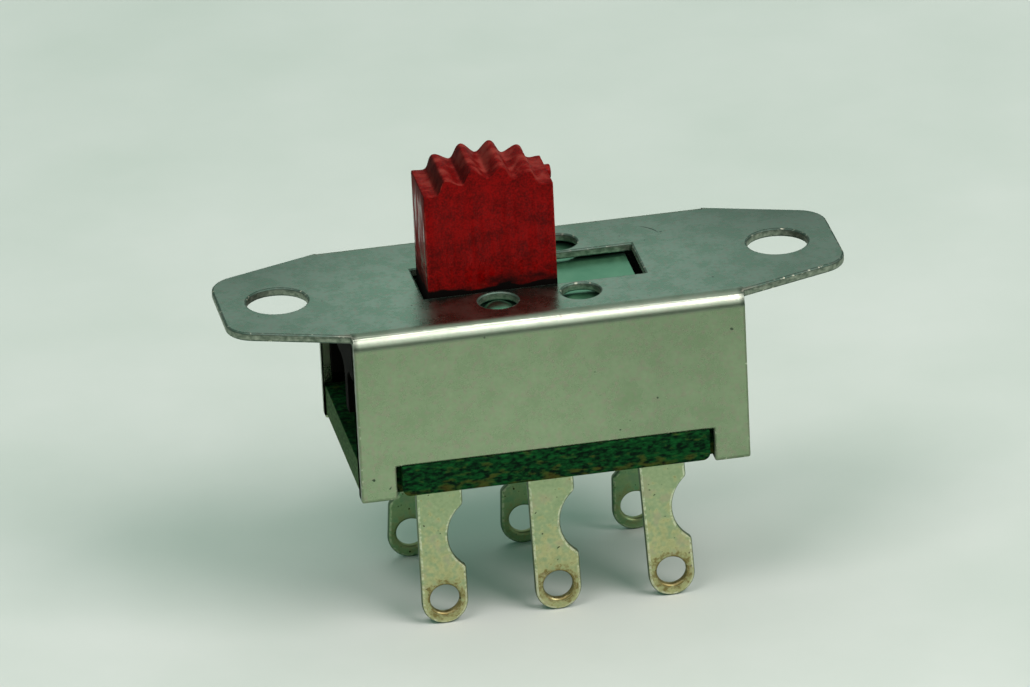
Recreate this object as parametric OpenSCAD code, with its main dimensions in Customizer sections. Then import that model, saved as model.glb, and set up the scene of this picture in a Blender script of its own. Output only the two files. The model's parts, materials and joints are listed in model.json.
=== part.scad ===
// Panel slide switch, double pole, double throw, with six solder lugs.
// Millimetres. X runs along the switch and its travel, Y across it, Z up.
// The origin is on the panel face of the housing, midway between the two
// mounting holes. The knob rests at the -X end of its slot.

/* [Housing] */
// Distance between the two mounting holes
mount_spacing = 28.575; // [28:0.1:36]
// Diameter of a mounting hole
mount_hole_d = 3.45; // [2.5:0.05:4.2]
// Distance from a mounting hole to the end of its ear
ear_end = 3.31; // [3:0.05:4.2]
// How far an ear's root is set in from the outside of each wall
ear_step = 0.5; // [0.1:0.05:1.5]
// Angle at which the sides of an ear close in, in degrees
ear_taper = 19.9; // [10:0.1:24]
// Corner radius at the end of an ear
ear_corner_r = 1.8; // [0.8:0.1:2.4]
// Length of the folded body
body_l = 22.15; // [18.5:0.05:24.5]
// Width over the two side walls
body_w = 12.7; // [12.3:0.1:16]
// Height from the panel face to the terminal board
body_h = 8.1; // [7:0.1:11]
// Thickness of the housing sheet
sheet_t = 0.5; // [0.35:0.05:0.65]
// Outer radius of the fold between plate and wall
bend_r = 0.9; // [0.7:0.05:1.2]
// Length of each leg that holds the board
leg_l = 2.02; // [1.4:0.05:2.4]
// How far a leg's tip is crimped in under the board
crimp_reach = 0.45; // [0.2:0.05:0.8]
// Height of the crimped tip
crimp_h = 0.22; // [0.16:0.02:0.5]

/* [Slider] */
// Travel of the knob
travel = 4.7; // [3.5:0.1:5.8]
// Length of the knob along its travel
knob_l = 7.36; // [6:0.05:8.8]
// Depth of the knob across its travel
knob_w = 3.9; // [3:0.1:4.7]
// Height of the knob's highest ridge above the panel face
knob_h = 7.46; // [5.5:0.1:10]
// Radius of the arc that the ridges follow
ridge_arc_r = 5.9; // [5:0.1:8]
// Distance between neighbouring ridges
ridge_pitch = 1.68; // [1.2:0.02:2.1]
// Depth of the grooves between the ridges
ridge_depth = 0.65; // [0.3:0.05:0.8]
// How much shallower the outermost grooves are
ridge_fade = 0.16; // [0:0.02:0.2]
// Diameter of the moulding gate's stub on the knob's +X end
gate_d = 0.8; // [0.4:0.05:1]
// Length of that stub
gate_l = 0.36; // [0.1:0.02:0.5]
// Depth of the stub's centre below the highest ridge
gate_drop = 1.95; // [1.5:0.05:3]
// Distance of the stub's centre from the knob's back face
gate_inset = 0.975; // [0.6:0.025:2]
// Width of the rib between the two arches at each end of the carrier
carrier_rib_w = 0.9; // [0.6:0.1:1.4]
// Height of those arches
carrier_arch_h = 2.8; // [1:0.1:3.2]

/* [Detent spring] */
// Thickness of the detent spring's sheet
detent_t = 0.25; // [0.15:0.05:0.35]
// Diameter of a dome where it leaves the sheet
dome_d = 1.9; // [1.5:0.05:2.2]
// Height of a dome above the sheet
dome_h = 0.5; // [0.3:0.05:0.55]
// Width of the plate left between the slot and a detent hole
detent_web = 0.265; // [0.2:0.005:0.5]
// Width of the sheet left outside a dome
detent_edge = 0.3; // [0.2:0.05:0.6]

/* [Terminal board] */
// Thickness of the terminal board
board_t = 1.8; // [1.2:0.1:2.2]
// How far the board's tongues stand out of the walls
board_proud = 0.14; // [0:0.02:0.2]
// Corner radius at the foot of a tongue
tongue_r = 0.45; // [0.2:0.05:0.6]

/* [Terminals] */
// Distance between neighbouring terminals of one row
terminal_pitch = 6.35; // [6:0.05:7.3]
// Distance of each row from the inside of its wall
row_inset = 1.35; // [0.9:0.05:1.6]
// Thickness of the terminal sheet
lug_t = 0.5; // [0.35:0.05:0.6]
// Width of a lug
lug_w = 2.65; // [2.4:0.05:3.2]
// Length of a lug below the board
lug_l = 9; // [8.2:0.1:12]
// Lean of the front lugs towards +X, left to right, in degrees
lean_front = [0.4, 1.5, 2.8]; // [0:0.1:4]
// Lean of the back lugs towards -X, left to right, in degrees
lean_back = [3.8, 2.3, 1.2]; // [0:0.1:4]
// Diameter of the wire hole
wire_hole_d = 1.68; // [1.2:0.02:1.9]
// Height of the wire hole above the centre of the lug's round end
wire_hole_lift = 0.2; // [0:0.05:0.3]
// Radius of the notch beside the lug
notch_r = 2.4; // [2:0.05:2.5]
// Depth of that notch
notch_depth = 0.95; // [0.4:0.05:1.1]
// Height of the notch's centre above the wire hole
notch_lift = 3.8; // [3.3:0.05:4]
// How far a lug stands to the side of its stem, away from the notch
lug_shift = 0.12; // [0:0.02:0.3]
// Width of the stem in the board
stem_w = 1.8; // [1.4:0.05:2.1]
// Length of the contact pad along the switch
pad_l = 2.6; // [2.2:0.1:3.2]
// How far the pad reaches in from the row
pad_reach = 2.2; // [1.8:0.1:2.6]
// Inner radius of the fold between stem and pad
fold_inner_r = 0.1; // [0.05:0.05:0.3]

/* [Contacts and springs] */
// How far a bridging contact reaches over the outer pads
contact_overlap = 0.4; // [0.2:0.05:0.8]
// Length of each of its raised ends
contact_end_l = 0.7; // [0.5:0.05:1]
// Rise of those ends
contact_rise = 0.55; // [0.3:0.05:0.7]
// Width of a bridging contact
contact_w = 1.8; // [1.4:0.1:2]
// Thickness of a bridging contact
contact_t = 0.25; // [0.15:0.05:0.35]
// Outer diameter of a contact spring
spring_d = 2.4; // [2:0.1:2.8]
// Wire diameter of a contact spring
wire_d = 0.3; // [0.2:0.05:0.35]
// Number of turns of a contact spring
spring_turns = 6; // [5:1:7]
// Height of the boss that centres the spring on the contact
boss_h = 0.3; // [0.2:0.05:0.5]

/* [Hidden] */

// Colours
steel_colour = "#a3ada2";
board_colour = "#2c2f24";
lug_colour = "#b3ab8b";
slider_colour = "#a3161b";
detent_colour = "#b7c0b6";
contact_colour = "#c9c3ae";
wire_colour = "#8d9290";

// Clearances
slot_end_gap = 0.3;      // knob to slot, at each end of the travel
slot_side_gap = 0.135;   // knob to slot, front and back
plate_gap = 0.1;         // detent spring to the underside of the plate
dome_gap = 0.15;         // dome in its detent hole, all round
window_gap = 0.08;       // detent spring's window round the knob
carrier_side_gap = 0.25; // carrier to each wall
carrier_end_gap = 0.45;  // carrier to the body's open end, at each limit
spring_end_gap = 0.425;  // detent spring to the body's open end, at each limit
carrier_rise = 0.4;      // carrier above the contact pads
carrier_wall = 0.45;     // carrier left outside each arch
arch_l = 2;              // how far an arch runs in from the carrier's end
arch_r = 0.8;            // the arch's rounded corners
board_side_gap = 0.04;   // board's ends between the walls
board_end_gap = 0.07;    // board short of the body's ends
leg_gap = 0.3;           // tongue to each leg
crimp_gap = 0.03;        // crimped tip below the board
slit_gap = 0.04;         // terminal stem in its slit
wipe_gap = 0.03;         // bridging contact above the pads
pocket_gap = 0.15;       // contact in its pocket, each side
pocket_rise = 0.4;       // pocket roof above the contact's raised ends
bore_gap = 0.15;         // contact spring in its bore
seat_gap = 0.02;         // contact spring to each seat
boss_gap = 0.15;         // boss in the contact spring
relief_run = 2.85;       // dent in the carrier beyond a dome, along the travel
relief_side = 0.35;      // the same across the travel
relief_drop = 0.1;       // dent deeper than a dome is high
bore_roof = 1.85;        // carrier left between the dent and the spring's bore
cut = 1;                 // how far a cut runs past a face

// Roundness
fn_small = 48;
fn_large = 96;
ridge_steps = 20; // flats along one ridge and groove

// Housing
half_l = body_l / 2;
half_w = body_w / 2;
ear_root_w = body_w - 2 * ear_step;
inner_half_w = half_w - sheet_t;
flat_half_w = half_w - bend_r;
end_x = mount_spacing / 2 + ear_end;
slot_l = knob_l + travel + 2 * slot_end_gap;
slot_w = knob_w + 2 * slot_side_gap;
leg_end_z = -body_h - board_t - crimp_gap - crimp_h;
leg_x = half_l - leg_l;

// Ear outline: unit normal of the slanted side, and the end corner's centre
ear_normal = [sin(ear_taper), cos(ear_taper)];
ear_corner_x = end_x - ear_corner_r;
ear_corner_y = (ear_normal * [half_l, ear_root_w / 2] - ear_corner_r
                - ear_normal[0] * ear_corner_x) / ear_normal[1];

// Slider, at rest at the -X end of its travel
slider_x = -travel / 2;
carrier_l = body_l - travel - 2 * carrier_end_gap;
detent_l = body_l - travel - 2 * spring_end_gap;
spring_top_z = -sheet_t - plate_gap;
carrier_top_z = spring_top_z - detent_t;
carrier_half_w = inner_half_w - carrier_side_gap;
pad_top_z = -body_h + lug_t;
carrier_low_z = pad_top_z + carrier_rise;
arch_w = carrier_half_w - carrier_wall - carrier_rib_w / 2;
ridge_angle = 2 * asin(ridge_pitch / 2 / ridge_arc_r);
groove_count = ceil(asin(min(1, knob_l / 2 / (ridge_arc_r - ridge_depth)))
                    / ridge_angle);
gate_y = knob_w / 2 - gate_inset;
gate_z = knob_h - gate_drop;
relief_l = dome_d + 2 * relief_run;
relief_w = dome_d + 2 * relief_side;
relief_h = dome_h + relief_drop;

// Detents
detent_hole_d = dome_d + 2 * dome_gap;
detent_y = slot_w / 2 + detent_web + detent_hole_d / 2;
detent_w = 2 * (detent_y + dome_d / 2 + detent_edge);

// Contacts
row_y = inner_half_w - row_inset;
fold_r = lug_t + fold_inner_r;
lane_y = row_y + lug_t / 2 - (fold_r + pad_reach) / 2;
contact_z = pad_top_z + wipe_gap;
contact_flat_l = 2 * (terminal_pitch - pad_l / 2 + contact_overlap) - travel;
contact_l = contact_flat_l + 2 * contact_end_l;
boss_d = spring_d - 2 * wire_d - 2 * boss_gap;
pocket_top_z = contact_z + contact_t + contact_rise + pocket_rise;
spring_low_z = contact_z + contact_t + seat_gap;
bore_top_z = carrier_top_z - relief_h - bore_roof;
spring_h = bore_top_z - seat_gap - spring_low_z;

// Board
board_low_z = -body_h - board_t;
tongue_x = leg_x - leg_gap;
tongue_y = half_w + board_proud;
board_end_x = half_l - board_end_gap;
board_end_y = inner_half_w - board_side_gap;

// Terminals
head_drop = lug_l - lug_w / 2;

function direction(a) = [sin(a), cos(a)];

// ---------------------------------------------------------------- housing
module ear_outline() {
    tangent = [ear_corner_x, ear_corner_y] + ear_corner_r * ear_normal;
    polygon([[half_l - cut, ear_root_w / 2], [half_l, ear_root_w / 2], tangent,
             [ear_corner_x, ear_corner_y], [end_x, ear_corner_y],
             [end_x, -ear_corner_y], [ear_corner_x, -ear_corner_y],
             [tangent[0], -tangent[1]], [half_l, -ear_root_w / 2],
             [half_l - cut, -ear_root_w / 2]]);
    for (side = [-1, 1])
        translate([ear_corner_x, side * ear_corner_y])
            circle(r = ear_corner_r, $fn = fn_large);
}

// One skin of the folded channel: half width, top and corner radius
module channel_skin(half, top, r) {
    corner_z = -bend_r;
    translate([-half, leg_end_z - cut])
        square([2 * half, corner_z - leg_end_z + cut]);
    translate([-flat_half_w, leg_end_z])
        square([2 * flat_half_w, top - leg_end_z]);
    for (side = [-1, 1])
        translate([side * flat_half_w, corner_z])
            circle(r = r, $fn = fn_large);
}

module channel_profile() {
    difference() {
        channel_skin(half_w, 0, bend_r);
        channel_skin(inner_half_w, -sheet_t, bend_r - sheet_t);
        translate([-body_w, leg_end_z - 2 * cut])
            square([2 * body_w, 2 * cut]);
    }
}

// Tip of a leg, bent in under the board; x is inward, y is down
module crimp_profile() {
    chamfer = 0.12;
    polygon([[0, 0], [crimp_reach + sheet_t, 0],
             [crimp_reach + sheet_t, -crimp_h + chamfer],
             [crimp_reach + sheet_t - chamfer, -crimp_h],
             [chamfer, -crimp_h], [0, -crimp_h + chamfer]]);
}

module legs_and_crimps() {
    for (end = [-1, 1], side = [0, 1])
        mirror([0, side, 0])
            translate([end * (half_l - leg_l / 2), half_w, leg_end_z + crimp_h])
                rotate([90, 0, -90])
                    linear_extrude(leg_l, center = true)
                        crimp_profile();
}

module wall_notches() {
    translate([0, 0, -body_h - body_h / 2])
        cube([2 * leg_x, body_w + 2 * cut, body_h], center = true);
    for (side = [-1, 1])
        translate([0, side * half_w, leg_end_z])
            cube([body_l + 2 * cut, 2 * sheet_t + cut, 2 * crimp_h], center = true);
}

module housing() {
    color(steel_colour)
        difference() {
            union() {
                difference() {
                    rotate([90, 0, 90])
                        linear_extrude(body_l, center = true)
                            channel_profile();
                    wall_notches();
                }
                legs_and_crimps();
                for (end = [0, 1])
                    mirror([end, 0, 0])
                        translate([0, 0, -sheet_t])
                            linear_extrude(sheet_t)
                                difference() {
                                    ear_outline();
                                    translate([0, flat_half_w])
                                        square([half_l, bend_r]);
                                    translate([0, -flat_half_w - bend_r])
                                        square([half_l, bend_r]);
                                }
            }
            cube([slot_l, slot_w, 2 * sheet_t + cut], center = true);
            for (end = [-1, 1]) {
                translate([end * mount_spacing / 2, 0, 0])
                    cylinder(d = mount_hole_d, h = 2 * sheet_t + cut,
                             center = true, $fn = fn_large);
                for (side = [-1, 1])
                    translate([end * travel / 2, side * detent_y, 0])
                        cylinder(d = detent_hole_d, h = 2 * sheet_t + cut,
                                 center = true, $fn = fn_small);
            }
        }
}

// --------------------------------------------------------- terminal board
module tongue_corner() {
    difference() {
        translate([-cut, -cut])
            square(cut + tongue_r);
        translate([tongue_r, tongue_r])
            circle(r = tongue_r, $fn = fn_small);
        translate([tongue_r, -2 * cut])
            square([cut, 4 * cut]);
        translate([-2 * cut, tongue_r])
            square([4 * cut, cut]);
    }
}

module terminal_board() {
    color(board_colour)
        difference() {
            translate([0, 0, board_low_z])
                linear_extrude(board_t) {
                    square([2 * board_end_x, 2 * board_end_y], center = true);
                    square([2 * tongue_x, 2 * tongue_y], center = true);
                }
            for (end = [0, 1], side = [0, 1])
                mirror([end, 0, 0])
                    mirror([0, side, 0])
                        translate([-tongue_x, half_w + cut, board_low_z])
                            rotate([90, 0, 0])
                                linear_extrude(sheet_t + cut + board_side_gap)
                                    tongue_corner();
            for (column = [-1 : 1], side = [-1, 1])
                translate([column * terminal_pitch, side * row_y, board_low_z])
                    cube([stem_w + 2 * slit_gap, lug_t + 2 * slit_gap, 4 * board_t],
                         center = true);
        }
}

// --------------------------------------------------------------- terminals
// Flat outline of a lug, measured from the board's underside; y is height
module lug_outline(lean) {
    difference() {
        rotate(lean)
            translate([-lug_shift, 0])
            difference() {
                union() {
                    translate([-lug_w / 2, -head_drop])
                        square([lug_w, head_drop + cut]);
                    translate([0, -head_drop])
                        circle(d = lug_w, $fn = fn_large);
                }
                translate([lug_w / 2 - notch_depth + notch_r,
                           wire_hole_lift + notch_lift - head_drop])
                    circle(r = notch_r, $fn = fn_large);
                translate([0, wire_hole_lift - head_drop])
                    circle(d = wire_hole_d, $fn = fn_large);
            }
        translate([-lug_w, 0])
            square([2 * lug_w, 2 * cut]);
    }
}

// Section of the folded contact pad; x is inward from the row, y is height
module pad_profile() {
    difference() {
        union() {
            translate([-lug_t / 2, pad_top_z - fold_r])
                square([fold_r, fold_r - lug_t]);
            translate([fold_r - lug_t / 2, pad_top_z - lug_t])
                square([pad_reach - fold_r, lug_t]);
            intersection() {
                translate([fold_r - lug_t / 2, pad_top_z - fold_r])
                    circle(r = fold_r, $fn = fn_small);
                translate([-lug_t / 2, pad_top_z - fold_r])
                    square(fold_r);
            }
        }
        translate([-lug_t, pad_top_z - 2 * lug_t])
            square([2 * pad_reach, lug_t]);
    }
}

// A terminal of the front row; the back row is the same stamping turned round
module terminal(column, lean) {
    color(lug_colour)
        translate([column * terminal_pitch, -row_y, 0]) {
            translate([0, lug_t / 2, board_low_z])
                rotate([90, 0, 0])
                    linear_extrude(lug_t)
                        lug_outline(lean);
            translate([-stem_w / 2, -lug_t / 2, board_low_z])
                cube([stem_w, lug_t, board_t + lug_t / 2]);
            rotate([90, 0, 90])
                linear_extrude(pad_l, center = true)
                    pad_profile();
        }
}

module front_terminal(column) {
    terminal(column, lean_front[column + 1]);
}

module back_terminal(column) {
    rotate([0, 0, 180])
        terminal(-column, lean_back[column + 1]);
}

module terminal_front_left() { front_terminal(-1); }
module terminal_front_centre() { front_terminal(0); }
module terminal_front_right() { front_terminal(1); }
module terminal_back_left() { back_terminal(-1); }
module terminal_back_centre() { back_terminal(0); }
module terminal_back_right() { back_terminal(1); }

// ------------------------------------------------------------------ slider
// The ridges and grooves are one wave along an arc; turn is the angle along
// the arc, counted in ridges from the groove at its top
function groove_depth(turn) = ridge_depth - ridge_fade * max(0, abs(turn) - 1);

function ridge_point(turn) =
    (ridge_arc_r - groove_depth(turn) * (1 + cos(360 * turn)) / 2)
    * direction(turn * ridge_angle);

// Side view of the knob; x is along the travel, y is height
module knob_profile() {
    arc_z = knob_h - ridge_arc_r;
    base_z = carrier_top_z - detent_t;
    steps = ridge_steps * groove_count;
    intersection() {
        translate([-knob_l / 2, base_z])
            square([knob_l, knob_h - base_z]);
        translate([0, arc_z])
            polygon([for (i = [-steps : steps]) ridge_point(i / ridge_steps),
                     [ridge_arc_r, base_z - arc_z], [-ridge_arc_r, base_z - arc_z]]);
    }
}

module knob() {
    translate([0, knob_w / 2, 0])
        rotate([90, 0, 0])
            linear_extrude(knob_w)
                knob_profile();
    translate([knob_l / 2 - cut, gate_y, gate_z])
        rotate([0, 90, 0])
            cylinder(d = gate_d, h = gate_l + cut, $fn = fn_small);
}

module carrier() {
    translate([-carrier_l / 2, -carrier_half_w, carrier_low_z])
        cube([carrier_l, 2 * carrier_half_w, carrier_top_z - carrier_low_z]);
}

// Section of one arch; x is away from the rib, y is height
module arch_profile() {
    translate([0, -cut])
        square([arch_w, carrier_arch_h - arch_r + cut]);
    translate([arch_r, -cut])
        square([arch_w - 2 * arch_r, carrier_arch_h + cut]);
    for (x = [arch_r, arch_w - arch_r])
        translate([x, carrier_arch_h - arch_r])
            circle(r = arch_r, $fn = fn_small);
}

// Everything that is cored out of the carrier
module carrier_cuts() {
    for (start_x = [-carrier_l / 2 - cut, carrier_l / 2 - arch_l],
         start_y = [carrier_rib_w / 2, -carrier_rib_w / 2 - arch_w])
        translate([start_x, start_y, carrier_low_z])
            rotate([90, 0, 90])
                linear_extrude(arch_l + cut)
                    arch_profile();
    pocket_l = contact_l + 2 * pocket_gap;
    pocket_w = contact_w + 2 * pocket_gap;
    for (side = [-1, 1]) {
        translate([-relief_l / 2, side * detent_y - relief_w / 2,
                   carrier_top_z - relief_h])
            cube([relief_l, relief_w, relief_h + cut]);
        translate([-pocket_l / 2, side * lane_y - pocket_w / 2, carrier_low_z - cut])
            cube([pocket_l, pocket_w, pocket_top_z - carrier_low_z + cut]);
        translate([0, side * lane_y, pocket_top_z - cut])
            cylinder(d = spring_d + 2 * bore_gap, h = bore_top_z - pocket_top_z + cut,
                     $fn = fn_small);
    }
}

module slider() {
    color(slider_colour)
        translate([slider_x, 0, 0]) {
            difference() {
                carrier();
                carrier_cuts();
            }
            knob();
        }
}

// ----------------------------------------------------------- detent spring
module dome() {
    dome_r = (pow(dome_d / 2, 2) + pow(dome_h, 2)) / (2 * dome_h);
    centre_z = spring_top_z + dome_h - dome_r;
    difference() {
        intersection() {
            translate([0, 0, centre_z])
                sphere(r = dome_r, $fn = fn_small);
            translate([-dome_r, -dome_r, spring_top_z - detent_t / 2])
                cube([2 * dome_r, 2 * dome_r, 2 * dome_r]);
        }
        translate([0, 0, centre_z])
            sphere(r = dome_r - detent_t, $fn = fn_small);
    }
}

module detent_spring() {
    bowl_d = dome_d - 2 * detent_t;
    color(detent_colour)
        translate([slider_x, 0, 0]) {
            difference() {
                translate([0, 0, spring_top_z - detent_t / 2])
                    cube([detent_l, detent_w, detent_t], center = true);
                cube([knob_l + 2 * window_gap, knob_w + 2 * window_gap, 4 * body_h],
                     center = true);
                for (side = [-1, 1])
                    translate([0, side * detent_y, spring_top_z])
                        cylinder(d = bowl_d, h = 4 * detent_t, center = true,
                                 $fn = fn_small);
            }
            for (side = [-1, 1])
                translate([0, side * detent_y, 0])
                    dome();
        }
}

// ---------------------------------------------------- contacts and springs
// Side view of a bridging contact: flat middle, raised ends
module contact_profile() {
    polygon([[-contact_flat_l / 2, 0], [contact_flat_l / 2, 0],
             [contact_l / 2, contact_rise], [contact_l / 2, contact_rise + contact_t],
             [contact_l / 2 - contact_t, contact_rise + contact_t],
             [contact_flat_l / 2 - contact_t / 4, contact_t],
             [-contact_flat_l / 2 + contact_t / 4, contact_t],
             [-contact_l / 2 + contact_t, contact_rise + contact_t],
             [-contact_l / 2, contact_rise + contact_t],
             [-contact_l / 2, contact_rise]]);
}

module bridge_contact(side) {
    color(contact_colour)
        translate([slider_x, side * lane_y, contact_z]) {
            translate([0, contact_w / 2, 0])
                rotate([90, 0, 0])
                    linear_extrude(contact_w)
                        contact_profile();
            translate([0, 0, contact_t / 2])
                cylinder(d = boss_d, h = contact_t / 2 + boss_h, $fn = fn_small);
        }
}

module bridge_contact_front() { bridge_contact(-1); }
module bridge_contact_back() { bridge_contact(1); }

// Wire path of a compression spring with closed end turns
coil_steps = 16;
wire_sides = 8;
end_rise = 1.15 * wire_d;
coil_pitch = (spring_h - wire_d - 2 * end_rise) / (spring_turns - 2);
coil_r = (spring_d - wire_d) / 2;

function coil_height(t) =
    wire_d / 2 + (t < 1 ? t * end_rise
                  : t > spring_turns - 1
                    ? end_rise + (spring_turns - 2) * coil_pitch
                      + (t - spring_turns + 1) * end_rise
                    : end_rise + (t - 1) * coil_pitch);

function wire_ring(t) = [for (j = [0 : wire_sides - 1])
    let (a = 360 * j / wire_sides, r = coil_r + wire_d / 2 * cos(a))
        [r * cos(360 * t), r * sin(360 * t), coil_height(t) + wire_d / 2 * sin(a)]];

module contact_spring(side) {
    rings = spring_turns * coil_steps;
    points = [for (i = [0 : rings]) each wire_ring(i / coil_steps)];
    walls = [for (i = [0 : rings - 1], j = [0 : wire_sides - 1])
        let (a = i * wire_sides + j, b = i * wire_sides + (j + 1) % wire_sides)
            [a, b, b + wire_sides, a + wire_sides]];
    first_cap = [for (j = [wire_sides - 1 : -1 : 0]) j];
    last_cap = [for (j = [0 : wire_sides - 1]) rings * wire_sides + j];
    color(wire_colour)
        translate([slider_x, side * lane_y, spring_low_z])
            polyhedron(points, concat(walls, [first_cap, last_cap]), convexity = 10);
}

module contact_spring_front() { contact_spring(-1); }
module contact_spring_back() { contact_spring(1); }

housing();
terminal_board();
terminal_front_left();
terminal_front_centre();
terminal_front_right();
terminal_back_left();
terminal_back_centre();
terminal_back_right();
slider();
detent_spring();
bridge_contact_front();
bridge_contact_back();
contact_spring_front();
contact_spring_back();
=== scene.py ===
# %% [markdown]
# # A panel slide switch, finished in Blender
#
# The switch is a folded steel housing, a red knob that slides in a slot, a
# laminate board and six solder lugs. The frame brings every part at its real
# size, in metres, so this lesson only has to give each part its finish, its
# softened edges and its light. It goes from the steel down to the lugs, then
# sets up the table, the lamps and the camera.

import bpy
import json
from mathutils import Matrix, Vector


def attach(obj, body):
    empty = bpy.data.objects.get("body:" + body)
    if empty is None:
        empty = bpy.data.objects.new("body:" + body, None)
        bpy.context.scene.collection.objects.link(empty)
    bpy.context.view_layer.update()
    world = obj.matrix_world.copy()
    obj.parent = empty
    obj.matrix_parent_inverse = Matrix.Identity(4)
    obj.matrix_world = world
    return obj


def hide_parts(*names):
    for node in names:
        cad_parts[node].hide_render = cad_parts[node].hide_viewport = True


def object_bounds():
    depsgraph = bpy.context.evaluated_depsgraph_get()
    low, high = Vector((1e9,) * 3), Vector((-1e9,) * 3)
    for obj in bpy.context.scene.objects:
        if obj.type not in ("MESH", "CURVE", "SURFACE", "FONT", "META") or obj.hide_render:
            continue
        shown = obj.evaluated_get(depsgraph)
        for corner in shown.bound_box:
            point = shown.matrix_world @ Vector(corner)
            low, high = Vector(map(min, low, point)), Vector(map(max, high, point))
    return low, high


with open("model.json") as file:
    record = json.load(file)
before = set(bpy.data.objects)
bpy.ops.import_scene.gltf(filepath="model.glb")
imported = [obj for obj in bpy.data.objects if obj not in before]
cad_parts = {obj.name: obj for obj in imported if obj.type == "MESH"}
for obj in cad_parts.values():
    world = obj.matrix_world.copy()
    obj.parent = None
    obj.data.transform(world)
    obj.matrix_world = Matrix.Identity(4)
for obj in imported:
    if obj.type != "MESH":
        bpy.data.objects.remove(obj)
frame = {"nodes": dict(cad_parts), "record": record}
cad_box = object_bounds()
nodes = frame["nodes"]
print("parts:", ", ".join(sorted(nodes)))

# %% Libraries, and the one unit of length
import json
import math

import bmesh
import bpy
from mathutils import Euler, Vector

MM = 0.001
scene = bpy.context.scene
print("the switch spans", [[round(v / MM, 2) for v in corner] for corner in cad_box], "mm")

# %% [markdown]
# ## Colours
#
# Colours are easiest to choose as the hex values that a paint program shows.
# A shader wants linear light instead, so one small function turns one into
# the other. It is used for every colour in the scene.


# %% Hex colour to linear light
def linear(hex_colour):
    """Turns a colour like "#a0b0c0" into the linear RGBA that a shader takes."""
    values = [int(hex_colour[i : i + 2], 16) / 255 for i in (1, 3, 5)]
    light = [v / 12.92 if v <= 0.04045 else ((v + 0.055) / 1.055) ** 2.4 for v in values]
    return (*light, 1.0)


print("mid grey in linear light:", round(linear("#808080")[0], 3))

# %% [markdown]
# ## Building a material from nodes
#
# A material is a small graph: patterns feed colours, and colours feed the
# shader. Adding each node by hand takes three or four lines, so one helper
# adds a node of any kind with its settings and fills its inputs. An input
# that is given another node is linked to that node's first output in use, one
# that is given an output is linked to it, and anything else is typed in.


# %% A helper that adds any node
def plug(tree, value, socket):
    """Links a node or an output to an input, or types a plain value into it."""
    if isinstance(value, bpy.types.Node):
        value = next(output for output in value.outputs if output.enabled)
    if isinstance(value, bpy.types.NodeSocket):
        tree.links.new(value, socket)
    else:
        socket.default_value = value


def add(tree, kind, inputs=None, stops=None, **settings):
    """Adds a shader node, sets its properties, inputs and colour stops, and returns it."""
    node = tree.nodes.new("ShaderNode" + kind)
    for name, value in settings.items():
        setattr(node, name, value)
    for name, value in (inputs or {}).items():
        plug(tree, value, node.inputs[name])
    if stops:
        elements = node.color_ramp.elements
        while len(elements) < len(stops):
            elements.new(1.0)
        for element, (place, colour) in zip(elements, stops):
            element.position = place
            element.color = linear(colour)
    return node


# The inputs of a Mix node: how much, the two colours, and the two numbers.
AMOUNT, UNDER, OVER = 0, 6, 7
LESS, MORE = 2, 3


# %% The start and the end of every material
def begin_material(name):
    """A new material: itself, its tree, its shader, and the place on the part in mm."""
    material = bpy.data.materials.new(name)
    material.use_nodes = True
    tree = material.node_tree
    place = add(tree, "TexCoord").outputs["Object"]
    in_mm = add(tree, "VectorMath", {0: place, "Scale": 1 / MM}, operation="SCALE")
    return material, tree, tree.nodes["Principled BSDF"], in_mm


def finish_material(tree, shader, colour, roughness, bump):
    """Links the three things that change over a surface."""
    plug(tree, colour, shader.inputs["Base Color"])
    plug(tree, roughness, shader.inputs["Roughness"])
    plug(tree, bump, shader.inputs["Normal"])


# %% [markdown]
# ## Plated steel
#
# The housing is sheet steel with a thin zinc plate. Fresh zinc is bright and
# bluish. Years of handling have dulled it to a grey green with cloudy patches,
# and the walls, which fingers touch less, have gone a little yellow. It still
# mirrors what stands close to it, so it is fully metallic with a roughness of
# about 0.3.
#
# Two kinds of value come back in every material. A ramp is a list of pairs: a
# pattern's value and the colour there. A range is the settings of a Map Range
# node, which turns a pattern's value, or a place in mm, into an amount. Names
# that end in MM are sizes or places in millimetres.

# %% Clouds, mottle and grain in the plate
CLOUD_MM = 1.6
MOTTLE_MM = 0.3
MOTTLE_SHARE = 0.5
# Real plating has grain of a few hundredths of a millimetre. It is drawn
# coarser, so that it shows.
GRAIN_MM = 0.11

steel, tree, shader, in_mm = begin_material("zinc_plated_steel")
place = add(tree, "SeparateXYZ", {0: in_mm}).outputs
normal = add(tree, "TexCoord").outputs["Normal"]
facing = add(tree, "SeparateXYZ", {0: normal}).outputs
clouds = add(tree, "TexNoise", {"Vector": in_mm, "Scale": 1 / CLOUD_MM, "Detail": 5.0})
mottle = add(tree, "TexNoise", {"Vector": in_mm, "Scale": 1 / MOTTLE_MM, "Detail": 4.0})
grain = add(tree, "TexNoise", {"Vector": in_mm, "Scale": 1 / GRAIN_MM, "Detail": 2.0})
patchy = add(tree, "Math", {0: mottle, 1: MOTTLE_SHARE, 2: clouds}, operation="MULTIPLY_ADD")
# A noise is 0.5 on average, so this keeps the average of the clouds.
patchy = add(tree, "Math", {0: patchy, 1: MOTTLE_SHARE / 2}, operation="SUBTRACT")
print("the plate has clouds of", CLOUD_MM, "mm and mottle of", MOTTLE_MM, "mm")

# %% Cooler on top, yellower on the walls, and pink in places
STEEL_TOP = [(0.4, "#7ca28f"), (0.6, "#98b5a6")]
STEEL_WALL = [(0.24, "#8a9f7c"), (0.76, "#9cad8c")]
FOLD_MM = 0.9
WALL_RANGE = {"From Min": -0.36, "From Max": -FOLD_MM}
STEEL_PINK = linear("#a8948c")
PINK_MM = 0.26
PINK_RANGE = {"From Min": 0.48, "From Max": 0.7, "To Max": 0.34}

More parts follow.
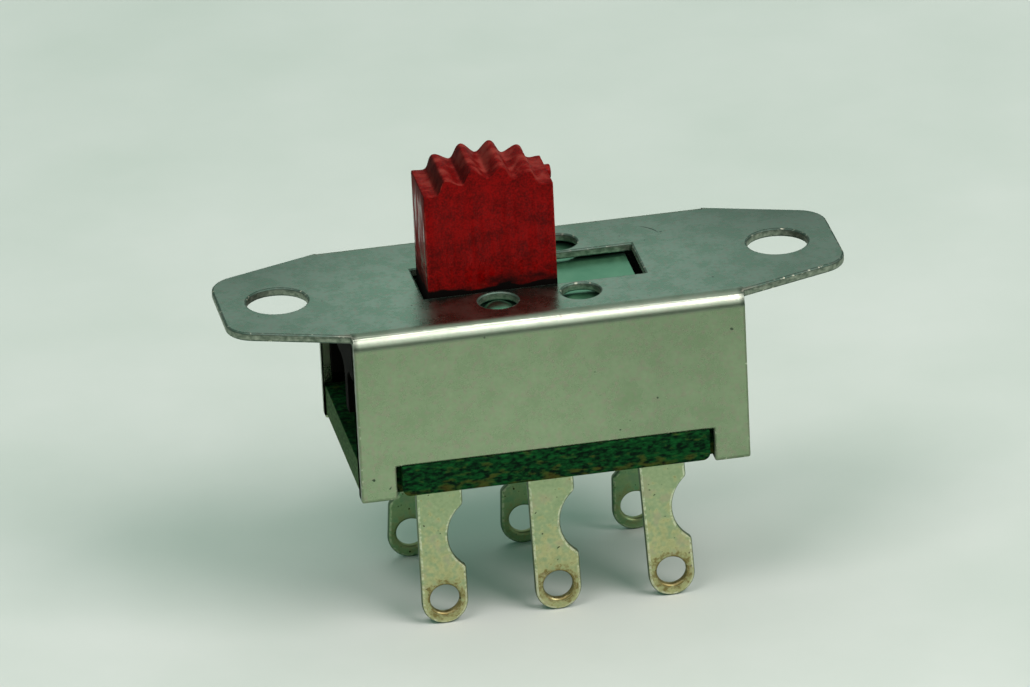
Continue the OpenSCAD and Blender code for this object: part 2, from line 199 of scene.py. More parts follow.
top = add(tree, "ValToRGB", {"Fac": patchy}, stops=STEEL_TOP)
wall = add(tree, "ValToRGB", {"Fac": patchy}, stops=STEEL_WALL)
on_wall = add(
    tree, "MapRange", {"Value": place["Z"], **WALL_RANGE}, interpolation_type="SMOOTHSTEP"
)
coat = add(tree, "Mix", {AMOUNT: on_wall, UNDER: top, OVER: wall}, data_type="RGBA")
pink = add(tree, "TexNoise", {"Vector": in_mm, "Scale": 1 / PINK_MM, "Detail": 3.0})
pink = add(tree, "MapRange", {"Value": pink, **PINK_RANGE})
coat = add(tree, "Mix", {AMOUNT: pink, UNDER: coat, OVER: STEEL_PINK}, data_type="RGBA")
print("the wall's colour takes over between", WALL_RANGE["From Min"], "and", -FOLD_MM, "mm")

# %% [markdown]
# ### Where the plate is duller
#
# The plate is made darker out on the ears, towards the back, a little to the
# right, and on the walls up towards the fold. Each is a slow change along one
# direction of the part, so each is one range, and they are added up. Small
# specks, where the plate has gone, come from the highest values of a noise.
# The one short curved scratch is drawn as a thin ring that only shows near
# one place on it.

# %% Dull ears, back and walls
EAR_RANGE = {"From Min": 8.0, "From Max": 15.0, "To Max": 0.3}
BACK_RANGE = {"From Min": 0.0, "From Max": 5.0, "To Max": 0.22}
RIGHT_RANGE = {"From Min": 0.0, "From Max": 6.0, "To Max": 0.11}
UNDER_FOLD_RANGE = {"From Min": -6.5, "From Max": -1.2, "To Max": 0.12}

# Darker towards the ears, the back, the right and, on the walls, the fold.
along = add(tree, "Math", {0: place["X"]}, operation="ABSOLUTE")
on_ear = add(tree, "MapRange", {"Value": along, **EAR_RANGE})
back = add(tree, "MapRange", {"Value": place["Y"], **BACK_RANGE})
right = add(tree, "MapRange", {"Value": place["X"], **RIGHT_RANGE})
dull = add(tree, "Math", {0: on_ear, 1: back}, operation="ADD")
under_fold = add(tree, "MapRange", {"Value": place["Z"], **UNDER_FOLD_RANGE})
dull = add(tree, "Mix", {AMOUNT: on_wall, LESS: dull, MORE: under_fold}, data_type="FLOAT")
dull = add(tree, "Math", {0: dull, 1: right}, operation="ADD")
print("the ears are duller by up to", EAR_RANGE["To Max"])

# %% Specks and one scratch
STEEL_DARK = linear("#24352d")
SPECK_MM = 0.5
SPECK_RANGE = {"From Min": 0.775, "From Max": 0.8, "To Max": 0.8}
SCRATCH_CENTRE_MM = (6.3, 2.6, 0.0)
SCRATCH_RADIUS_MM = 1.85
SCRATCH_WIDTH_MM = 0.09
SCRATCH_MIDDLE_MM = (7.75, 3.75, 0.0)
SCRATCH_RANGE = {"From Min": 1.0, "From Max": 0.4, "To Max": 0.9}

speckle = add(tree, "TexNoise", {"Vector": in_mm, "Scale": 1 / SPECK_MM, "Detail": 1.0})
speck = add(tree, "MapRange", {"Value": speckle, **SPECK_RANGE})
from_centre = add(tree, "VectorMath", {0: in_mm, 1: SCRATCH_CENTRE_MM}, operation="DISTANCE")
from_middle = add(tree, "VectorMath", {0: in_mm, 1: SCRATCH_MIDDLE_MM}, operation="DISTANCE")
on_ring = add(
    tree,
    "Math",
    {0: from_centre, 1: SCRATCH_RADIUS_MM, 2: SCRATCH_WIDTH_MM / 2},
    operation="COMPARE",
)
near = add(tree, "MapRange", {"Value": from_middle, **SCRATCH_RANGE})
scratch = add(tree, "Math", {0: on_ring, 1: near}, operation="MULTIPLY")
marks = add(tree, "Math", {0: speck, 1: scratch}, operation="MAXIMUM")
dull = add(tree, "Math", {0: dull, 1: marks}, operation="MAXIMUM")
coat = add(tree, "Mix", {AMOUNT: dull, UNDER: coat, OVER: STEEL_DARK}, data_type="RGBA")
print("the scratch has a radius of", SCRATCH_RADIUS_MM, "mm")

# %% [markdown]
# ### Cuts and corners
#
# The sheared cuts look sideways out of the plate, or along out of a wall, so
# the way a face looks tells which is which. Each cut is dark and smooth where
# the punch went in, then torn and paler. The punch also rolled the corners
# over. They are dull, and rubbed bright here and there, and those bright spots
# are also painted glints, standing in for the light that the corners catch.

# %% The sheared cuts
STEEL_CUT = [(0.3, "#647263"), (0.68, "#9ea897")]
PLATE_MM = 0.5
# A face is a cut when its normal leans no further than this towards the
# outside of the sheet.
CUT_LEAN = 0.35
TEAR_MM = 0.22
TEAR_STRETCH = (0.8, 0.8, 0.9)
TEAR_RANGE = {"From Max": -PLATE_MM, "To Min": -0.16, "To Max": 0.1}

on_plate = add(tree, "Math", {0: place["Z"], 1: -PLATE_MM}, operation="GREATER_THAN")
out_of_plate = add(tree, "Math", {0: facing["Z"], 1: 0.0, 2: CUT_LEAN}, operation="COMPARE")
out_of_wall = add(tree, "Math", {0: facing["Y"], 1: 0.0, 2: CUT_LEAN}, operation="COMPARE")
sheared = add(
    tree, "Mix", {AMOUNT: on_plate, LESS: out_of_wall, MORE: out_of_plate}, data_type="FLOAT"
)
streaked = add(tree, "VectorMath", {0: in_mm, 1: TEAR_STRETCH}, operation="MULTIPLY")
tearing = add(tree, "TexNoise", {"Vector": streaked, "Scale": 1 / TEAR_MM, "Detail": 3.0})
deep = add(tree, "MapRange", {"Value": place["Z"], **TEAR_RANGE})
torn = add(tree, "Math", {0: tearing, 1: deep}, operation="ADD")
torn = add(tree, "ValToRGB", {"Fac": torn}, stops=STEEL_CUT)
colour = add(tree, "Mix", {AMOUNT: sheared, UNDER: coat, OVER: torn}, data_type="RGBA")
print("the sheet is", PLATE_MM, "mm thick")

# %% The rolled corners
STEEL_WEAR_AND_SHINE = linear("#dfe2cc")
PLATE_ROLLED = 0.55
WALL_ROLLED = 0.15
RUBBED_RANGE = {"From Min": 0.6, "From Max": 0.7, "To Max": 0.7}

edge = add(tree, "Attribute", attribute_name="edge").outputs["Fac"]
rolled = add(
    tree, "Mix", {AMOUNT: on_wall, LESS: PLATE_ROLLED, MORE: WALL_ROLLED}, data_type="FLOAT"
)
rolled = add(tree, "Math", {0: edge, 1: rolled}, operation="MULTIPLY")
colour = add(tree, "Mix", {AMOUNT: rolled, UNDER: colour, OVER: STEEL_DARK}, data_type="RGBA")
# The bright spots on the corners are partly wear and partly painted glints.
rubbed = add(tree, "MapRange", {"Value": mottle, **RUBBED_RANGE})
rubbed = add(tree, "Math", {0: rubbed, 1: edge}, operation="MULTIPLY")
colour = add(tree, "Mix", {AMOUNT: rubbed, UNDER: colour, OVER: STEEL_WEAR_AND_SHINE}, data_type="RGBA")
print("corners are darkened by", PLATE_ROLLED, "on the plate and", WALL_ROLLED, "on the walls")

# %% [markdown]
# ### The fold
#
# The fold is painted paler, partly as wear from the die that made it and
# partly as a painted highlight that widens the lamps' shine on it, and fine
# scores give it a roughness of its own. Its two ends are painted dark, as
# painted shade that cuts the highlight short. Under it lies a thin dark line,
# a painted reflection of the dark band near the horizon. All of this is
# placed by how far a point is from the switch's middle and from its top.

# %% The fold's shine and its nipped ends
FOLD_START_MM = 5.45
FOLD_BLEND_MM = 0.35
OUTER_RANGE = {"From Min": FOLD_START_MM, "From Max": FOLD_START_MM + FOLD_BLEND_MM}
ABOVE_RANGE = {"From Min": -FOLD_MM, "From Max": -0.6}
FOLD_SHINE = 0.45
FOLD_END_SHADE_RANGE = {"From Min": 10.75, "From Max": 10.98, "To Max": 0.65}

across = add(tree, "Math", {0: place["Y"]}, operation="ABSOLUTE")
outer = add(tree, "MapRange", {"Value": across, **OUTER_RANGE})
above = add(tree, "MapRange", {"Value": place["Z"], **ABOVE_RANGE})
fold = add(tree, "Math", {0: outer, 1: above}, operation="MULTIPLY")
fold = add(tree, "Math", {0: fold, 1: sheared}, operation="SUBTRACT", use_clamp=True)
# The fold's paler colour is partly wear and partly a painted highlight.
shine = add(tree, "Math", {0: fold, 1: FOLD_SHINE}, operation="MULTIPLY")
colour = add(tree, "Mix", {AMOUNT: shine, UNDER: colour, OVER: STEEL_WEAR_AND_SHINE}, data_type="RGBA")
# Painted shade: the fold's two ends are darkened, cutting its highlight short.
fold_end_shade = add(tree, "MapRange", {"Value": along, **FOLD_END_SHADE_RANGE})
fold_end_shade = add(tree, "Math", {0: fold_end_shade, 1: fold}, operation="MULTIPLY")
colour = add(tree, "Mix", {AMOUNT: fold_end_shade, UNDER: colour, OVER: STEEL_DARK}, data_type="RGBA")
print("the fold shines from", FOLD_START_MM, "mm off the middle")

# %% The line under the fold
PAINTED_LINE_Z_MM = -0.72
PAINTED_LINE_RANGE = {"From Min": 0.2, "From Max": 0.04, "To Max": 0.55}

# A painted reflection: a thin dark line under the fold, where the dark band near the horizon is
# mirrored.
painted_dark = add(tree, "Math", {0: place["Z"], 1: PAINTED_LINE_Z_MM}, operation="SUBTRACT")
painted_dark = add(tree, "Math", {0: painted_dark}, operation="ABSOLUTE")
painted_dark = add(tree, "MapRange", {"Value": painted_dark, **PAINTED_LINE_RANGE})
painted_dark = add(tree, "Math", {0: painted_dark, 1: outer}, operation="MULTIPLY")
colour = add(tree, "Mix", {AMOUNT: painted_dark, UNDER: colour, OVER: STEEL_DARK}, data_type="RGBA")
print("the pressed line is at", PAINTED_LINE_Z_MM, "mm")

# %% [markdown]
# ### Inside and over all
#
# Inside the box, away from its open ends, the steel is painted dark, as painted shade.
# Everywhere, fine brush marks run mostly along the switch. They are a noise
# stretched in that direction, and together with the grain and the tears they
# give the relief.

# %% Painted shade inside
STEEL_INSIDE_SHADE = linear("#1d241d")
INSIDE_X_RANGE = {"From Min": 10.6, "From Max": 10.5}
INSIDE_Y_MM = 6.1
INSIDE_Z_MM = -0.45

# Painted shade: the steel inside the box is darkened away from its open ends.
inside_shade = add(tree, "MapRange", {"Value": along, **INSIDE_X_RANGE})
between = add(tree, "Math", {0: across, 1: INSIDE_Y_MM}, operation="LESS_THAN")
inside_shade = add(tree, "Math", {0: inside_shade, 1: between}, operation="MULTIPLY")
below = add(tree, "Math", {0: place["Z"], 1: INSIDE_Z_MM}, operation="LESS_THAN")
inside_shade = add(tree, "Math", {0: inside_shade, 1: below}, operation="MULTIPLY")
colour = add(tree, "Mix", {AMOUNT: inside_shade, UNDER: colour, OVER: STEEL_INSIDE_SHADE}, data_type="RGBA")
print("it is dark within", INSIDE_Y_MM, "mm of the middle")

# %% Brush marks, relief and roughness
# Real brush marks are finer, and are drawn coarser so that they show.
BRUSH_MM = 0.09
BRUSH_STRETCH = (0.09, 1.0, 1.0)
BRUSH_SHARE = 0.6
STEEL_RELIEF = 0.12
STEEL_RELIEF_MM = 0.03
SMOOTH_RANGE = {"To Min": 0.18, "To Max": 0.38}
FOLD_ROUGHNESS = 0.33
CUT_ROUGHNESS = 0.6

brushed = add(tree, "VectorMath", {0: in_mm, 1: BRUSH_STRETCH}, operation="MULTIPLY")
lines = add(tree, "TexNoise", {"Vector": brushed, "Scale": 1 / BRUSH_MM, "Detail": 2.0})
relief = add(tree, "Math", {0: lines, 1: BRUSH_SHARE, 2: grain}, operation="MULTIPLY_ADD")
relief = add(tree, "Math", {0: tearing, 1: sheared, 2: relief}, operation="MULTIPLY_ADD")
bump = add(
    tree, "Bump", {"Height": relief, "Strength": STEEL_RELIEF, "Distance": STEEL_RELIEF_MM * MM}
)
smooth = add(tree, "MapRange", {"Value": patchy, **SMOOTH_RANGE})
smooth = add(tree, "Mix", {AMOUNT: fold, LESS: smooth, MORE: FOLD_ROUGHNESS}, data_type="FLOAT")
rough = add(tree, "Math", {0: sheared, 1: edge}, operation="MAXIMUM")
roughness = add(tree, "Mix", {AMOUNT: rough, LESS: smooth, MORE: CUT_ROUGHNESS}, data_type="FLOAT")
shader.inputs["Metallic"].default_value = 1.0
finish_material(tree, shader, colour, roughness, bump)
print(steel.name, "has", len(tree.nodes), "nodes")

# %% [markdown]
# ## Softened edges
#
# No real edge is a perfect corner. Sheet edges are rounded by the punch, and
# a moulding's edges by its tool, and that is what catches the light. The
# frame's meshes have knife-sharp corners, so each visible part is copied, its
# flat areas are joined into whole faces, and its corners are bevelled. The new
# narrow faces are marked, so that a material can wear them. Last, points that
# have come out too close together to tell apart are merged, so that no face
# is left without a width.

# %% What counts as a corner, as flat, and as the same place
CORNER = math.radians(40)
SHADED_CORNER = math.radians(50)
FLAT = math.radians(0.3)
SAME_PLACE_MM = 0.0001
TOO_CLOSE_MM = 0.001
BEVEL_SEGMENTS = 3
ROUND = 0.5


# %% Copy a part and bevel its corners
def soften(node_name, piece_name, body, material, width, shortest=0.0):
    """Makes a copy of a CAD part with bevelled corners, which stands for it.

    width is the bevel's, in mm. Corner edges shorter than shortest, also in
    mm, stay as they are, because a bevel has no room on them.
    """
    shape = bmesh.new()
    shape.from_mesh(nodes[node_name].data)
    bmesh.ops.remove_doubles(shape, verts=shape.verts, dist=SAME_PLACE_MM * MM)
    bmesh.ops.dissolve_limit(shape, angle_limit=FLAT, verts=shape.verts, edges=shape.edges)
    mark = shape.faces.layers.float.new("edge")
    corners = [e for e in shape.edges if e.is_manifold and e.calc_face_angle() > CORNER]
    corners = [e for e in corners if e.calc_length() > shortest * MM]
    made = bmesh.ops.bevel(
        shape,
        geom=corners,
        offset=width * MM,
        segments=BEVEL_SEGMENTS,
        profile=ROUND,
        affect="EDGES",
        clamp_overlap=False,
    )
    for face in made["faces"]:
        face[mark] = 1.0
    bmesh.ops.remove_doubles(shape, verts=shape.verts, dist=TOO_CLOSE_MM * MM)
    mesh = bpy.data.meshes.new(piece_name)
    shape.to_mesh(mesh)
    shape.free()
    mesh.shade_smooth()
    mesh.set_sharp_from_angle(angle=SHADED_CORNER)
    mesh.materials.append(material)
    piece = bpy.data.objects.new(piece_name, mesh)
    scene.collection.objects.link(piece)
    smoothing = piece.modifiers.new("even_normals", "WEIGHTED_NORMAL")
    smoothing.keep_sharp = True
    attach(piece, body)
    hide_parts(node_name)
    print(piece_name, "has", len(mesh.polygons), "faces")


# %% The housing
soften(
    "housing",
    "housing_sheet",
    "switch_body",
    steel,
    width=0.11,
    shortest=0.13,
)

# %% [markdown]
# ## The red knob
#
# Knobs like this are compression moulded from phenolic resin filled with wood
# flour. The filler makes the red a little mottled, and the polished tool
# leaves the flat sides glossy, while thumbs dull the ridges and wear them to a
# paler, pinker tone.

# %% Wood flour in red resin
KNOB_RED = [(0.38, "#540101"), (0.6, "#860505")]
FLOUR_MM = 0.12
PATCH_MM = 0.8
PATCH_SHARE = 0.45

phenolic, tree, shader, in_mm = begin_material("red_phenolic")
place = add(tree, "SeparateXYZ", {0: in_mm}).outputs
normal = add(tree, "TexCoord").outputs["Normal"]
facing = add(tree, "SeparateXYZ", {0: normal}).outputs
flour = add(tree, "TexNoise", {"Vector": in_mm, "Scale": 1 / FLOUR_MM, "Detail": 3.0})
patches = add(tree, "TexNoise", {"Vector": in_mm, "Scale": 1 / PATCH_MM, "Detail": 5.0})
mixed = add(tree, "Mix", {AMOUNT: PATCH_SHARE, LESS: flour, MORE: patches}, data_type="FLOAT")
red = add(tree, "ValToRGB", {"Fac": mixed}, stops=KNOB_RED)
print("the flour is drawn", FLOUR_MM, "mm coarse, in patches of", PATCH_MM, "mm")

# %% Worn ridges and corners
KNOB_WORN = linear("#94463c")
RIDGES_RANGE = {"From Min": 4.9, "From Max": 6.5}
# Only faces that look up or along the switch are touched by the thumb.
RIDGES_LEAN = 0.6
WORN_RANGE = {"From Min": 0.44, "From Max": 0.62, "To Max": 0.45}

edge = add(tree, "Attribute", attribute_name="edge").outputs["Fac"]
on_ridges = add(tree, "MapRange", {"Value": place["Z"], **RIDGES_RANGE})
away = add(tree, "Math", {0: facing["Y"], 1: 0.0, 2: RIDGES_LEAN}, operation="COMPARE")
handled = add(tree, "Math", {0: on_ridges, 1: away}, operation="MULTIPLY")
worn = add(tree, "Math", {0: edge, 1: handled}, operation="MAXIMUM")
rubbed = add(tree, "MapRange", {"Value": patches, **WORN_RANGE})
worn = add(tree, "Math", {0: worn, 1: rubbed}, operation="MULTIPLY")
red = add(tree, "Mix", {AMOUNT: worn, UNDER: red, OVER: KNOB_WORN}, data_type="RGBA")
print("the ridges are worn from", RIDGES_RANGE["From Min"], "mm up")

# %% [markdown]
# ### Dirt and painted shade on the knob
#
# Low down, where the knob rubs along the slot, it is darkened, partly by dirt
# and partly as painted shade, most of all at the end that leads the way back,
# and highest on the end face, where the darkening is painted shade. A noise
# stretched along the slot makes it smeared, and a black line of painted shade
# lies along the very bottom, in the gap by the slot. The flanks of the ridges
# that face left are painted dark too, as painted shade, more so towards the
# left. Below the panel, everything but the ends is painted dark, as painted
# shade.

# %% Smears low down
DIRT_AND_SHADE_HEIGHT_RANGE = {"From Min": -6.0, "From Max": 1.3, "To Min": 0.4, "To Max": 2.4}
END_SHADE_MM = 2.6
# The end face looks back along the switch.
END_FACING = -0.7
LOW_RANGE = {"From Min": 0.0, "From Max": 1.0, "To Min": 0.36, "To Max": -0.2}
SMEAR_MM = 0.4
SMEAR_STRETCH = (0.35, 0.35, 1.0)
DIRT_AND_SHADE_RANGE = {"From Min": 0.48, "From Max": 0.85, "To Max": 0.85}

# Darker low down, partly dirt and partly painted shade; on the end face it reaches higher, as
# painted shade.
height = add(tree, "MapRange", {"Value": place["X"], **DIRT_AND_SHADE_HEIGHT_RANGE})
on_end = add(tree, "Math", {0: facing["X"], 1: END_FACING}, operation="LESS_THAN")
height = add(tree, "Mix", {AMOUNT: on_end, LESS: height, MORE: END_SHADE_MM}, data_type="FLOAT")
low = add(tree, "Math", {0: place["Z"], 1: height}, operation="DIVIDE")
low = add(tree, "MapRange", {"Value": low, **LOW_RANGE})
smeared = add(tree, "VectorMath", {0: in_mm, 1: SMEAR_STRETCH}, operation="MULTIPLY")
smears = add(tree, "TexNoise", {"Vector": smeared, "Scale": 1 / SMEAR_MM, "Detail": 5.0})
dirt_and_shade = add(tree, "Math", {0: smears, 1: low}, operation="ADD")
dirt_and_shade = add(tree, "MapRange", {"Value": dirt_and_shade, **DIRT_AND_SHADE_RANGE})
print("dirt reaches", END_SHADE_MM, "mm up the end")

# %% The black line, the flanks and what is under the panel
KNOB_DIRT_AND_SHADE = linear("#070403")
LINE_RAGGED_MM = 0.8
LINE_RANGE = {"From Min": 0.02, "From Max": -0.2}
FLANK_RANGE = {"From Min": -0.25, "From Max": -0.7}
LEFTWARD_RANGE = {"From Min": -1.0, "From Max": -5.0, "To Min": 0.2, "To Max": 0.75}
HIDDEN_MM = -0.7
# Faces that look further along the switch than this are the ends.
WIPED_FACING = 0.7
HIDDEN_SHADE = 0.9

# Painted shade: a ragged black line along the very bottom of the knob.
ragged = add(
    tree, "Math", {0: smears, 1: -LINE_RAGGED_MM, 2: place["Z"]}, operation="MULTIPLY_ADD"
)
line = add(tree, "MapRange", {"Value": ragged, **LINE_RANGE})
dirt_and_shade = add(tree, "Math", {0: dirt_and_shade, 1: line}, operation="MAXIMUM")
# Painted shade: flanks of the ridges that face left are darkened, more so towards the left.
flank = add(tree, "MapRange", {"Value": facing["X"], **FLANK_RANGE})
flank = add(tree, "Math", {0: flank, 1: on_ridges}, operation="MULTIPLY")
leftward = add(tree, "MapRange", {"Value": place["X"], **LEFTWARD_RANGE})
flank = add(tree, "Math", {0: flank, 1: leftward}, operation="MULTIPLY")
dirt_and_shade = add(tree, "Math", {0: dirt_and_shade, 1: flank}, operation="MAXIMUM")
# Painted shade: below the panel, everything but the ends is darkened.
hidden = add(tree, "Math", {0: place["Z"], 1: HIDDEN_MM}, operation="LESS_THAN")
sideways = add(tree, "Math", {0: facing["X"], 1: 0.0, 2: WIPED_FACING}, operation="COMPARE")
hidden_shade = add(tree, "Math", {0: hidden, 1: sideways}, operation="MULTIPLY")
hidden_shade = add(tree, "Math", {0: hidden_shade, 1: HIDDEN_SHADE}, operation="MULTIPLY")
dirt_and_shade = add(tree, "Math", {0: dirt_and_shade, 1: hidden_shade}, operation="MAXIMUM")
red = add(tree, "Mix", {AMOUNT: dirt_and_shade, UNDER: red, OVER: KNOB_DIRT_AND_SHADE}, data_type="RGBA")
print("under the panel,", HIDDEN_SHADE, "of the red is hidden by grime")

# %% [markdown]
# ### The knob's shine
#
# The sides are polished in upright strips, and dull between them. Phenolic has
# an index of refraction of about 1.6. The dirt and fine scratches take away
# most of the reflection that faces the eye, so the specular level is low, and
# only the side that is seen at a slant mirrors the room.

# %% Strips of shine
STRIP_STRETCH = (1.0, 1.0, 0.12)
STRIP_RANGE = {"From Min": 0.42, "From Max": 0.6, "To Min": 0.12, "To Max": 0.75}
RIDGE_ROUGHNESS = 0.6
DIRT_AND_SHADE_ROUGHNESS = 0.9
PIT_MM = 0.3
KNOB_RELIEF = 0.2
KNOB_RELIEF_MM = 0.04

upright = add(tree, "VectorMath", {0: in_mm, 1: STRIP_STRETCH}, operation="MULTIPLY")
strips = add(tree, "TexNoise", {"Vector": upright, "Scale": 1 / SMEAR_MM, "Detail": 3.0})
side = add(tree, "MapRange", {"Value": strips, **STRIP_RANGE})
side = add(tree, "Mix", {AMOUNT: on_ridges, LESS: side, MORE: RIDGE_ROUGHNESS}, data_type="FLOAT")
roughness = add(tree, "Mix", {AMOUNT: dirt_and_shade, LESS: side, MORE: DIRT_AND_SHADE_ROUGHNESS}, data_type="FLOAT")
pits = add(tree, "TexNoise", {"Vector": in_mm, "Scale": 1 / PIT_MM, "Detail": 3.0})
bump = add(
    tree, "Bump", {"Height": pits, "Strength": KNOB_RELIEF, "Distance": KNOB_RELIEF_MM * MM}
)
shader.inputs["IOR"].default_value = 1.6
shader.inputs["Specular IOR Level"].default_value = 0.06
finish_material(tree, shader, red, roughness, bump)

soften("slider", "knob_moulding", "sliding_unit", phenolic, width=0.06)

# %% [markdown]
# ## The terminal board
#
# The board is punched from paper laminate: sheets of kraft paper pressed with
# dark resin. Its face is smooth, and its punched edge shows the layers as fine
# streaks, with brown fibres where the paper tore, most of them along the lower
# edge, where the punch came out.

# %% Layers and fibres
BOARD_RESIN = [(0.38, "#02150a"), (0.68, "#0f4b21")]
BOARD_FIBRE = linear("#4a4218")
# Real layers are about half as thick, and are drawn thicker so that they show.
LAYER_MM = 0.15
LAYER_STRETCH = (0.45, 0.45, 1.0)
LOW_EDGE_RANGE = {"From Min": -8.9, "From Max": -9.8, "To Min": -0.06, "To Max": 0.06}
FIBRE_RANGE = {"From Min": 0.52, "From Max": 0.68, "To Max": 0.6}

laminate, tree, shader, in_mm = begin_material("paper_laminate")
layers = add(tree, "VectorMath", {0: in_mm, 1: LAYER_STRETCH}, operation="MULTIPLY")
streaks = add(tree, "TexNoise", {"Vector": layers, "Scale": 1 / LAYER_MM, "Detail": 4.0})
resin = add(tree, "ValToRGB", {"Fac": streaks}, stops=BOARD_RESIN)
tufts = add(tree, "TexNoise", {"Vector": layers, "Scale": 1 / (2 * LAYER_MM), "Detail": 5.0})
place = add(tree, "SeparateXYZ", {0: in_mm}).outputs
low = add(tree, "MapRange", {"Value": place["Z"], **LOW_EDGE_RANGE})
tufts = add(tree, "Math", {0: tufts, 1: low}, operation="ADD")
fibre = add(tree, "MapRange", {"Value": tufts, **FIBRE_RANGE})
colour = add(tree, "Mix", {AMOUNT: fibre, UNDER: resin, OVER: BOARD_FIBRE}, data_type="RGBA")
print("the board's layers are drawn", LAYER_MM, "mm thick")

# %% [markdown]
# ### The sawn ends
#
# The ends are painted paler than the punched sides, in streaks along the
# layers, as painted light that the ends catch from the side. The resin's index
# of refraction is about 1.55, but its torn surface scatters nearly all of its
# shine, so the specular level is low.

# %% Painted light on the ends, relief and roughness
BOARD_END_LIGHT = linear("#5f7650")
END_RANGE = {"From Min": 0.6, "From Max": 0.9, "To Max": 0.5}
BOARD_END_MM = 10.5
LAYER_STREAK_RANGE = {"From Min": 0.35, "From Max": 0.65, "To Min": 0.5, "To Max": 1.3}
BOARD_ROUGHNESS_RANGE = {"To Min": 0.7, "To Max": 0.95}
BOARD_RELIEF = 0.6
BOARD_RELIEF_MM = 0.05

normal = add(tree, "TexCoord").outputs["Normal"]
facing = add(tree, "SeparateXYZ", {0: normal}).outputs
# Painted light: the board's outermost ends are made paler, in streaks along the layers.
end = add(tree, "Math", {0: facing["X"]}, operation="ABSOLUTE")
end = add(tree, "MapRange", {"Value": end, **END_RANGE})
along = add(tree, "Math", {0: place["X"]}, operation="ABSOLUTE")
outermost = add(tree, "Math", {0: along, 1: BOARD_END_MM}, operation="GREATER_THAN")
end = add(tree, "Math", {0: end, 1: outermost}, operation="MULTIPLY")
layer_streaks = add(tree, "MapRange", {"Value": streaks, **LAYER_STREAK_RANGE})
end = add(tree, "Math", {0: end, 1: layer_streaks}, operation="MULTIPLY")
colour = add(tree, "Mix", {AMOUNT: end, UNDER: colour, OVER: BOARD_END_LIGHT}, data_type="RGBA")
roughness = add(tree, "MapRange", {"Value": streaks, **BOARD_ROUGHNESS_RANGE})
bump = add(
    tree, "Bump", {"Height": streaks, "Strength": BOARD_RELIEF, "Distance": BOARD_RELIEF_MM * MM}
)
shader.inputs["IOR"].default_value = 1.55
shader.inputs["Specular IOR Level"].default_value = 0.05
finish_material(tree, shader, colour, roughness, bump)

soften(
    "terminal_board",
    "laminate_board",
    "switch_body",
    laminate,
    width=0.07,
    shortest=0.07,
)

# %% [markdown]
# ## The six solder lugs
#
# The lugs are stamped from brass and silver plated so that solder takes. The
# silver has tarnished, greenish by the board and yellower towards the tip, in
# patches. The three at the back are painted darker and greener, as painted
# shade, since they stand in the switch's shadow. All six are alike, so the
# steps below are functions, and each is used six times.


# %% The patterns that a lug's finish is made of
LUG_CLOUD_MM = 0.9
LUG_GRAIN_MM = 0.2
LUG_BLOT_MM = 0.4
LUG_SPECK_MM = 0.28


def lug_patterns(tree, in_mm):
    """Its slow clouds, its fine grain and its blots."""
    clouds = {"Vector": in_mm, "Scale": 1 / LUG_CLOUD_MM, "Detail": 5.0}
    grain = {"Vector": in_mm, "Scale": 1 / LUG_GRAIN_MM, "Detail": 3.0}
    blots = {"Vector": in_mm, "Scale": 1 / LUG_BLOT_MM, "Detail": 4.0}
    return [add(tree, "TexNoise", pattern) for pattern in (clouds, grain, blots)]


print("the lugs have clouds of", LUG_CLOUD_MM, "mm and blots of", LUG_BLOT_MM, "mm")

# %% The silver itself
LUG_GREEN = [(0.36, "#9caf87"), (0.64, "#b2c096")]
LUG_YELLOW = [(0.36, "#b2b484"), (0.64, "#c8c896")]
LUG_PINK = linear("#b4aa90")
LUG_DARK = linear("#2e8458")
DOWN_RANGE = {"From Min": -10.0, "From Max": -18.5, "To Min": -0.25, "To Max": 0.25}
TIP_RANGE = {"From Min": 0.4, "From Max": 0.62}
LUG_PINK_RANGE = {"From Min": 0.56, "From Max": 0.66, "To Max": 0.5}


def silver_plate(tree, place, patterns, row_shade):
    """The colour of the silver; the last argument is how far it is painted into dark green, as
    painted shade, from 0 to 1.
    """
    clouds, grain, blots = patterns
    # The average of the grain and the clouds.
    mixed = add(tree, "Math", {0: grain, 1: clouds}, operation="ADD")
    mixed = add(tree, "Math", {0: mixed, 1: 0.5}, operation="MULTIPLY")
    green = add(tree, "ValToRGB", {"Fac": mixed}, stops=LUG_GREEN)
    yellow = add(tree, "ValToRGB", {"Fac": mixed}, stops=LUG_YELLOW)
    down = add(tree, "MapRange", {"Value": place["Z"], **DOWN_RANGE})
    tip = add(tree, "Math", {0: blots, 1: down}, operation="ADD")
    tip = add(tree, "MapRange", {"Value": tip, **TIP_RANGE})
    silver = add(tree, "Mix", {AMOUNT: tip, UNDER: green, OVER: yellow}, data_type="RGBA")
    pink = add(tree, "MapRange", {"Value": clouds, **LUG_PINK_RANGE})
    silver = add(tree, "Mix", {AMOUNT: pink, UNDER: silver, OVER: LUG_PINK}, data_type="RGBA")
    # Painted shade: the back row's silver is mixed towards dark green.
    return add(tree, "Mix", {AMOUNT: row_shade, UNDER: silver, OVER: LUG_DARK}, data_type="RGBA")


print("the silver turns yellow over", DOWN_RANGE["From Min"] - DOWN_RANGE["From Max"], "mm")

# %% [markdown]
# ### Flux stains and specks
#
# Round each wire hole, where old flux sat, the silver is brown, strongest at
# the rim of the hole and inside it. The stain's strength falls with the
# distance from the middle of the hole, and noise breaks up its outline.

